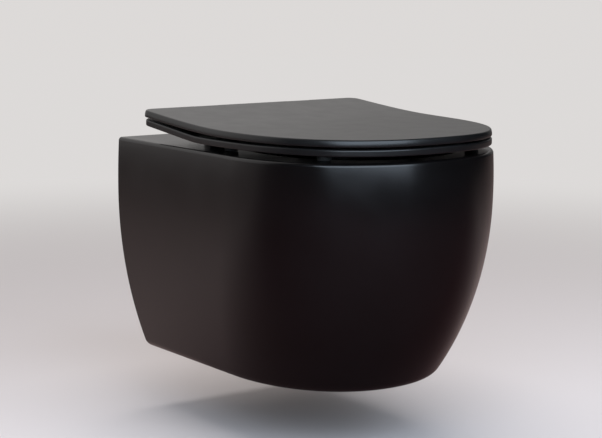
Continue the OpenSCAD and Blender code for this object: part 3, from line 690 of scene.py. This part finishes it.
lid_bm = bmesh.new()
lid_bm.from_mesh(lid.data)
sweep_slab(lid_bm, LID_Z, LID_SWEEP)
lid_bm.to_mesh(lid.data)
lid_bm.free()
print("swept lid:", len(lid.data.polygons), "faces")

# %% [markdown]
# ## Room for the hinges in the lid
# Each hinge eye is let into a pocket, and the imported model's own eye is shown there. The rear edge steps in
# a little behind each pillar, so the lid can fall right back over the raised seat without meeting them.

# %% Room for the hinges in the lid
EYE_X = 98 * MM
EYE_FOOT_FRONT = 5 * MM
EYE_FOOT_BACK = 3 * MM
STEP_FRONT = 62.5 * MM
STEP_HEIGHT = 40 * MM

eye_foot_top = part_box("lid_eyes")[1][2]
combine(lid, mirrored_block("eye_foot", (EYE_X, AXIS.y - EYE_FOOT_FRONT, AXIS.z),
                            (EYE_X + KNUCKLE_LENGTH, AXIS.y + EYE_FOOT_BACK, eye_foot_top)))
(pillar_in, _, _), (pillar_out, _, _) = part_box("pillar_right")
combine(lid, mirrored_block("step", (pillar_in - PAST_FACE, -STEP_FRONT, AXIS.z),
                            (pillar_out + PAST_FACE, -LID_BACK + PAST_FACE, LID_Z + STEP_HEIGHT)))
soften(lid)
print("lid:", len(lid.data.polygons), "faces")

# %% [markdown]
# ## Rubber buffers
# Four round buffers under the seat meet the rim, and four in the lid's hollow meet the seat. Each is a low
# button with a rounded foot, pressed into its place.

# %% Rubber buffers
FOOT_ROUND = 2 * MM


def buffers(name, places, foot_z, roof_z):
    """Round rubber buttons, mirrored in pairs, as one object. Both heights depend on the place along Y."""
    bm = bmesh.new()
    for side in (1, -1):
        for x, y in places:
            low, high = foot_z(-y), roof_z(-y)
            made = bmesh.ops.create_cone(bm, segments=48, radius1=BUFFER_R, radius2=BUFFER_R,
                                         depth=high - low, cap_ends=True)["verts"]
            bmesh.ops.translate(bm, vec=(side * x, -y, (low + high) / 2), verts=made)
            rim = [e for e in edges_between(made) if all(abs(v.co.z - low) < SAME_HEIGHT for v in e.verts)]
            bmesh.ops.bevel(bm, geom=rim, offset=FOOT_ROUND, offset_type="OFFSET", segments=5, profile=0.5,
                            affect="EDGES", clamp_overlap=False, material=-1)
    return soften(as_object(name, bm))


seat_buffers = buffers("seat_buffer_rubber", seat_buffer_places, lambda y: RIM_Z + CLEARANCE,
                       lambda y: SEAT_Z + BUFFER_POCKET + sweep_up(y, SEAT_SWEEP) - CLEARANCE)
lid_buffer_places = [(SEAT_HALF_WIDTH - LID_LIP - 2 * BUFFER_R, SIDE_BUFFER_Y), front_buffer]
lid_buffers = buffers("lid_buffer_rubber", lid_buffer_places,
                      lambda y: SEAT_Z + SEAT_THICK + sweep_up(y + BUFFER_R, SEAT_SWEEP) + CLEARANCE,
                      lambda y: LID_Z + LID_HOLLOW + sweep_up(y - BUFFER_R, LID_SWEEP))
print("buffers:", seat_buffers.name, lid_buffers.name)


# %% [markdown]
# ## Finishes
# Every finish is a small node tree on the piece's own coordinates. Broad soft noise varies the gloss, as a
# hand would find it, and a finer one gives a bump too small to see as a pattern but large enough to
# break up a highlight. Each finish has its own scale: a glaze flows in millimetres, moulded plastic and
# rubber have a finer grain, and drawn metal has fine lines.

# %% A base for the finishes
def shader_of(material):
    """The shader node of a finish."""
    return material.node_tree.nodes["Principled BSDF"]


def new_finish(name, colour, roughness, metallic=0.0):
    """Node material with its constant values on the shader's own sockets."""
    material = bpy.data.materials.new(name)
    material.use_nodes = True
    material.diffuse_color = (*colour, 1)
    shader = shader_of(material)
    shader.inputs["Base Color"].default_value = (*colour, 1)
    shader.inputs["Roughness"].default_value = roughness
    shader.inputs["Metallic"].default_value = metallic
    return material


def noise(material, scale, detail=2.0, stretch=(1, 1, 1)):
    """Noise on the piece's own coordinates, with a scale in waves per metre."""
    nodes, links = material.node_tree.nodes, material.node_tree.links
    place_node = nodes.new("ShaderNodeTexCoord")
    mapping = nodes.new("ShaderNodeMapping")
    mapping.inputs["Scale"].default_value = stretch
    texture = nodes.new("ShaderNodeTexNoise")
    texture.inputs["Scale"].default_value = scale
    texture.inputs["Detail"].default_value = detail
    links.new(place_node.outputs["Object"], mapping.inputs["Vector"])
    links.new(mapping.outputs["Vector"], texture.inputs["Vector"])
    return texture.outputs["Fac"]


print("noise ready")


# %% [markdown]
# ### What the noise does
# One noise moves the gloss, another the colour, and a fine one raises a bump. Noise seldom leaves the middle
# of its range, so only that stretch of it is spread over the two values.

# %% What the noise does
GLOSS_NOISE = (0.3, 0.7)
COLOUR_NOISE = (0.35, 0.65)


def vary_gloss(material, source, low, high):
    """Roughness that wanders between two values."""
    spread = material.node_tree.nodes.new("ShaderNodeMapRange")
    spread.inputs["From Min"].default_value = GLOSS_NOISE[0]
    spread.inputs["From Max"].default_value = GLOSS_NOISE[1]
    spread.inputs["To Min"].default_value = low
    spread.inputs["To Max"].default_value = high
    material.node_tree.links.new(source, spread.inputs["Value"])
    material.node_tree.links.new(spread.outputs["Result"], shader_of(material).inputs["Roughness"])


def vary_colour(material, source, first, second):
    """Colour that wanders between two close tones."""
    ramp = material.node_tree.nodes.new("ShaderNodeValToRGB")
    ramp.color_ramp.elements[0].position = COLOUR_NOISE[0]
    ramp.color_ramp.elements[0].color = (*first, 1)
    ramp.color_ramp.elements[1].position = COLOUR_NOISE[1]
    ramp.color_ramp.elements[1].color = (*second, 1)
    material.node_tree.links.new(source, ramp.inputs["Fac"])
    material.node_tree.links.new(ramp.outputs["Color"], shader_of(material).inputs["Base Color"])


def add_grain(material, source, height):
    """Bump of a real height in metres."""
    bump = material.node_tree.nodes.new("ShaderNodeBump")
    bump.inputs["Strength"].default_value = 1.0
    bump.inputs["Distance"].default_value = height
    material.node_tree.links.new(source, bump.inputs["Height"])
    material.node_tree.links.new(bump.outputs["Normal"], shader_of(material).inputs["Normal"])


print("finish tools ready")

# %% [markdown]
# ### Glaze and moulded black
# The pan has a silky black glaze that scatters light a little. The seat and lid are nearly the same black in
# plastic, a little less glossy, and a low view over the lid turns it pale with reflected light.

# %% Glaze and moulded black
glaze = new_finish("satin_black_glaze", (0.0035, 0.003, 0.0032), 0.22)
vary_gloss(glaze, noise(glaze, 22, 3), 0.2, 0.25)
vary_colour(glaze, noise(glaze, 9, 2), (0.003, 0.0026, 0.0027), (0.004, 0.0034, 0.0036))
add_grain(glaze, noise(glaze, 420, 2), 0.02 * MM)

moulded = new_finish("moulded_black", (0.006, 0.006, 0.0063), 0.3)
vary_gloss(moulded, noise(moulded, 40, 3), 0.29, 0.32)
vary_colour(moulded, noise(moulded, 14, 2), (0.0052, 0.0052, 0.0054), (0.0068, 0.0068, 0.0071))
add_grain(moulded, noise(moulded, 1500, 2), 0.006 * MM)
print("black finishes:", glaze.name, moulded.name)

# %% [markdown]
# ### Rubber, nylon and block plastic
# Rubber is dull and slightly grey. Nylon bushes are off-white with a waxy look, the pillars are a darker
# moulding, and the hanging blocks are a coarse grey plastic.

# %% Rubber, nylon and block plastic
rubber = new_finish("dull_rubber", (0.028, 0.028, 0.028), 0.75)
vary_colour(rubber, noise(rubber, 300, 3), (0.022, 0.022, 0.022), (0.036, 0.036, 0.035))
add_grain(rubber, noise(rubber, 1800, 3), 0.03 * MM)

nylon_dark = new_finish("dark_nylon", (0.05, 0.05, 0.053), 0.5)
vary_gloss(nylon_dark, noise(nylon_dark, 260, 3), 0.44, 0.56)
add_grain(nylon_dark, noise(nylon_dark, 2200, 2), 0.015 * MM)

nylon_light = new_finish("pale_nylon", (0.7, 0.69, 0.64), 0.42)
shader_of(nylon_light).inputs["Subsurface Weight"].default_value = 0.1
shader_of(nylon_light).inputs["Subsurface Radius"].default_value = (1 * MM, 1 * MM, 1 * MM)
vary_gloss(nylon_light, noise(nylon_light, 300, 3), 0.36, 0.48)
add_grain(nylon_light, noise(nylon_light, 1600, 2), 0.01 * MM)

block_grey = new_finish("grey_block_plastic", (0.3, 0.31, 0.33), 0.55)
vary_colour(block_grey, noise(block_grey, 120, 4), (0.27, 0.28, 0.3), (0.33, 0.34, 0.36))
add_grain(block_grey, noise(block_grey, 1200, 3), 0.04 * MM)
print("soft finishes:", rubber.name, nylon_dark.name, nylon_light.name, block_grey.name)

# %% [markdown]
# ### Metals
# The base plates and buttons are satin plated, the screws, springs and axles are steel, drawn along the
# axles' length, and the inserts in the blocks are turned brass. The noise of each is stretched along the
# lines that its making leaves.

# %% Metals
ALONG_X = (0.06, 1, 1)
ALONG_Z = (1, 1, 0.05)
ROUND_Y = (0.1, 1, 0.1)

plated = new_finish("satin_plate", (0.62, 0.63, 0.65), 0.24, 1.0)
vary_gloss(plated, noise(plated, 500, 4), 0.2, 0.3)
add_grain(plated, noise(plated, 2600, 2, ALONG_Z), 0.004 * MM)

steel = new_finish("drawn_steel", (0.56, 0.56, 0.58), 0.32, 1.0)
vary_gloss(steel, noise(steel, 1400, 3, ALONG_X), 0.26, 0.42)
add_grain(steel, noise(steel, 3000, 2, ALONG_X), 0.006 * MM)

brass = new_finish("turned_brass", (0.7, 0.5, 0.22), 0.3, 1.0)
vary_gloss(brass, noise(brass, 900, 3, ROUND_Y), 0.22, 0.38)
vary_colour(brass, noise(brass, 200, 3), (0.64, 0.45, 0.19), (0.74, 0.54, 0.25))
print("metals:", plated.name, steel.name, brass.name)

# %% [markdown]
# ## Finishes on the pieces
# The record names a slot for each node. The slots lead to the finishes, so each part gets the look of its
# real material. The new pieces ride on the bodies of the nodes that they stand for.

# %% Finishes on the pieces
finish_of_slot = {"glaze": glaze, "duroplast": moulded, "rubber": rubber, "block": block_grey, "brass": brass,
                  "steel": steel, "plated": plated, "nylon_dark": nylon_dark, "nylon_light": nylon_light}


def give_finish(piece, material):
    """Makes a finish the only one of a piece."""
    piece.data.materials.clear()
    piece.data.materials.append(material)


for part in frame["record"]["subparts"]:
    give_finish(frame["nodes"][part["node"]], finish_of_slot[part["material_slot"]])
for piece, body, slot, nodes in ((pan, "pan", "glaze", ("pan_shell", "pan_rim", "pan_bowl", "pan_sump")),
                                 (seat, "seat", "duroplast", ("seat_ring",)),
                                 (lid, "lid", "duroplast", ("lid",)),
                                 (seat_buffers, "seat", "rubber", ("seat_buffers",)),
                                 (lid_buffers, "lid", "rubber", ("lid_buffers",))):
    give_finish(piece, finish_of_slot[slot])
    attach(piece, body)
    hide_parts(*nodes)

# %% [markdown]
# ## Floor
# The stage is a plain round floor with a slightly warm tone, at the height that leaves the rim where it
# hangs in use. It keeps the soft shadow under the pan, and its light comes back up into the low flanks.

# %% Floor
RIM_ABOVE_FLOOR = 389.5 * MM
FLOOR_RADIUS = 9.0
FLOOR_COLOUR = (0.69, 0.63, 0.62, 1)

stage_bm = bmesh.new()
bmesh.ops.create_circle(stage_bm, cap_ends=True, segments=96, radius=FLOOR_RADIUS)
bmesh.ops.translate(stage_bm, vec=(0, 0, RIM_Z - RIM_ABOVE_FLOOR), verts=stage_bm.verts)
floor = as_object("floor", stage_bm)
floor_paint = new_finish("pale_floor", FLOOR_COLOUR[:3], 0.8)
vary_gloss(floor_paint, noise(floor_paint, 3, 2), 0.75, 0.85)
give_finish(floor, floor_paint)
floor_nodes, floor_links = floor_paint.node_tree.nodes, floor_paint.node_tree.links
print("floor", round(RIM_ABOVE_FLOOR / MM, 1), "mm below the rim")


# %% [markdown]
# ### Painted reflection of the floor in the glaze
# Black glaze shows its surroundings. For glossy rays only, the floor's colour is painted dark and warm in
# front of the pan and paler towards the rear. This painted reflection keeps the nose black and the long flank
# a soft even grey.
# Every other ray finds the floor's own colour.

# %% Painted reflection of the floor
# Painted reflection colours: the floor as glossy rays see it, dark in front and paler behind.
FRONT_PAINTED_REFLECTION = (0.08, 0.02, 0.02, 1)
REAR_PAINTED_REFLECTION = (0.41, 0.3, 0.28, 1)
REARWARDS = (0.4, 1, 0)
PALER_FROM = -0.5
PALER_TO = 0.25


def ramp_over(source, low, high):
    """Soft step from 0 to 1 between two values of a socket."""
    step = floor_nodes.new("ShaderNodeMapRange")
    step.interpolation_type = "SMOOTHSTEP"
    step.inputs["From Min"].default_value = low
    step.inputs["From Max"].default_value = high
    floor_links.new(source, step.inputs["Value"])
    return step.outputs["Result"]


def mix_colours(factor, first, second):
    """Mix of two colours, each a value or a socket."""
    mixer = floor_nodes.new("ShaderNodeMix")
    mixer.data_type = "RGBA"
    floor_links.new(factor, mixer.inputs["Factor"])
    for socket, colour in ((mixer.inputs[6], first), (mixer.inputs[7], second)):
        if isinstance(colour, tuple):
            socket.default_value = colour
        else:
            floor_links.new(colour, socket)
    return mixer.outputs[2]


where = floor_nodes.new("ShaderNodeTexCoord")
along = floor_nodes.new("ShaderNodeVectorMath")
along.operation = "DOT_PRODUCT"
along.inputs[1].default_value = REARWARDS
ray = floor_nodes.new("ShaderNodeLightPath")
floor_links.new(where.outputs["Object"], along.inputs[0])
# Painted reflection: the floor colour for glossy rays, going from dark in front to pale behind.
mirrored = mix_colours(ramp_over(along.outputs["Value"], PALER_FROM, PALER_TO), FRONT_PAINTED_REFLECTION, REAR_PAINTED_REFLECTION)
# Glossy rays see the painted reflection colour, and every other ray sees the floor's own colour.
shown = mix_colours(ray.outputs["Is Glossy Ray"], FLOOR_COLOUR, mirrored)
floor_links.new(shown, shader_of(floor_paint).inputs["Base Color"])
print("the mirrored floor pales along", REARWARDS)

# %% [markdown]
# ### Floor into background
# Further out the camera sees the floor fade into the pale background, so no horizon line crosses the
# picture from any side. Only camera rays find this, so it adds no light to the pan.

# %% Floor into background
BACKGROUND = (0.72, 0.7, 0.69, 1)
FADE_FROM = 0.7
FADE_TO = 2.6

distance = floor_nodes.new("ShaderNodeVectorMath")
distance.operation = "LENGTH"
far_floor = floor_nodes.new("ShaderNodeEmission")
far_floor.inputs["Color"].default_value = BACKGROUND
share = floor_nodes.new("ShaderNodeMath")
share.operation = "MULTIPLY"
both = floor_nodes.new("ShaderNodeMixShader")
floor_links.new(where.outputs["Object"], distance.inputs[0])
floor_links.new(ramp_over(distance.outputs["Value"], FADE_FROM, FADE_TO), share.inputs[0])
floor_links.new(ray.outputs["Is Camera Ray"], share.inputs[1])
floor_links.new(share.outputs["Value"], both.inputs["Fac"])
floor_links.new(shader_of(floor_paint).outputs["BSDF"], both.inputs[1])
floor_links.new(far_floor.outputs["Emission"], both.inputs[2])
floor_links.new(both.outputs["Shader"], floor_nodes["Material Output"].inputs["Surface"])
print("floor fades out between", FADE_FROM, "and", FADE_TO, "m")


# %% [markdown]
# ## Lamps
# One cool soft window in front of the pan draws the tall highlight on its nose. A large panel overhead gives
# the plain light level and the soft shadow. It isn't mirrored, because it would draw a bright line along
# every rounded edge.

# %% Lamps
def soft_panel(name, place_at, aim_at, width, height, power, colour, roll=0.0, mirrored=True):
    """Area lamp at a place that faces a point, rolled by some degrees round its own axis."""
    lamp = bpy.data.lights.new(name, "AREA")
    lamp.shape = "RECTANGLE"
    lamp.size, lamp.size_y = width, height
    lamp.energy = power
    lamp.color = colour
    holder = bpy.data.objects.new(name, lamp)
    bpy.context.scene.collection.objects.link(holder)
    holder.location = place_at
    facing = (Vector(aim_at) - Vector(place_at)).to_track_quat("-Z", "Y")
    holder.rotation_euler = (facing @ Quaternion((0, 0, 1), math.radians(roll))).to_euler()
    holder.visible_camera = False
    holder.visible_glossy = mirrored
    return holder


window_panel = soft_panel("window_panel", place_at=(-0.58, -2.0, 1.0), aim_at=(0, -0.4, 0.08),
                          width=3.2, height=1.6, power=68, colour=(0.72, 0.85, 1.0), roll=4)
top_panel = soft_panel("top_panel", place_at=(0, -0.3, 2.6), aim_at=(0, -0.24, -0.05),
                       width=2.4, height=2.4, power=62, colour=(1.0, 0.99, 0.98), mirrored=False)
print("lamps:", window_panel.name, top_panel.name)

# %% [markdown]
# ## Sky
# The rear half of the sky is pale and gives the long flank and the lid their even tone. The front half is
# dim, so the nose stays black. The lowest part at the rear right is dimmer too, because the far side of the
# nose mirrors it. The camera sees one even tone in place of all this.

# %% Sky tools
world = bpy.data.worlds.new("studio")
bpy.context.scene.world = world
world.use_nodes = True
sky, joins = world.node_tree.nodes, world.node_tree.links


def sky_range(source, low, high, first, second):
    """Value that goes from one level to another while a socket goes from low to high."""
    spread = sky.new("ShaderNodeMapRange")
    for socket, value in (("From Min", low), ("From Max", high), ("To Min", first), ("To Max", second)):
        spread.inputs[socket].default_value = value
    joins.new(source, spread.inputs["Value"])
    return spread


def sky_math(operation, first, second):
    """Math node on two sockets."""
    step = sky.new("ShaderNodeMath")
    step.operation = operation
    joins.new(first, step.inputs[0])
    joins.new(second, step.inputs[1])
    return step.outputs["Value"]


print("sky tools ready")

# %% Sky
SKY_COLOUR = (1.0, 0.97, 0.955, 1)
SEEN_LEVEL = 0.72
FRONT_LEVEL = 0.015
REAR_LEVEL = 0.68
REAR_FROM = 0.15
REAR_TO = 0.6
UP_AND_LEFT = (-0.5, 0, 1)
LOW_SHARE = 0.3
LOW_FROM = -0.2
LOW_TO = -0.04

direction = sky.new("ShaderNodeTexCoord").outputs["Generated"]
axes = sky.new("ShaderNodeSeparateXYZ")
joins.new(direction, axes.inputs["Vector"])
rear_half = sky_range(axes.outputs["Y"], REAR_FROM, REAR_TO, FRONT_LEVEL, REAR_LEVEL)
rear_half.interpolation_type = "SMOOTHSTEP"
upwards = sky.new("ShaderNodeVectorMath")
upwards.operation = "DOT_PRODUCT"
upwards.inputs[1].default_value = UP_AND_LEFT
joins.new(direction, upwards.inputs[0])
above = sky_range(upwards.outputs["Value"], LOW_FROM, LOW_TO, LOW_SHARE, 1.0)
path = sky.new("ShaderNodeLightPath")
level = sky.new("ShaderNodeMix")
level.inputs["B"].default_value = SEEN_LEVEL
joins.new(sky_math("MAXIMUM", path.outputs["Is Camera Ray"], path.outputs["Is Transmission Ray"]),
          level.inputs["Factor"])
joins.new(sky_math("MULTIPLY", rear_half.outputs["Result"], above.outputs["Result"]), level.inputs["A"])
background = sky["Background"]
background.inputs["Color"].default_value = SKY_COLOUR
joins.new(level.outputs["Result"], background.inputs["Strength"])
print("sky is pale behind and dim in front")

# %% [markdown]
# ## Camera
# The camera stands to the left of the front, a little above the rim, with a long lens. Its place and angles
# were worked out from lines that are square to each other. Without any turn a camera looks straight
# down, so a tilt of 90 degrees would look level, and the heading turns it to the right.

# %% Camera
CAMERA_PLACE = (-1.298, -2.046, 0.3165)
CAMERA_TILT = 81.3611
CAMERA_ROLL = 0.0257
CAMERA_HEADING = -34.8338
CAMERA_LENS = 100.13
SENSOR_WIDTH = 36

camera_data = bpy.data.cameras.new("photo_camera")
camera_data.sensor_width = SENSOR_WIDTH
camera_data.lens = CAMERA_LENS
camera = bpy.data.objects.new("photo_camera", camera_data)
bpy.context.scene.collection.objects.link(camera)
camera.location = CAMERA_PLACE
camera.rotation_euler = [math.radians(angle) for angle in (CAMERA_TILT, CAMERA_ROLL, CAMERA_HEADING)]
bpy.context.scene.camera = camera
bpy.context.scene.view_settings.view_transform = "Standard"
print("camera at", tuple(round(v, 3) for v in camera.location))
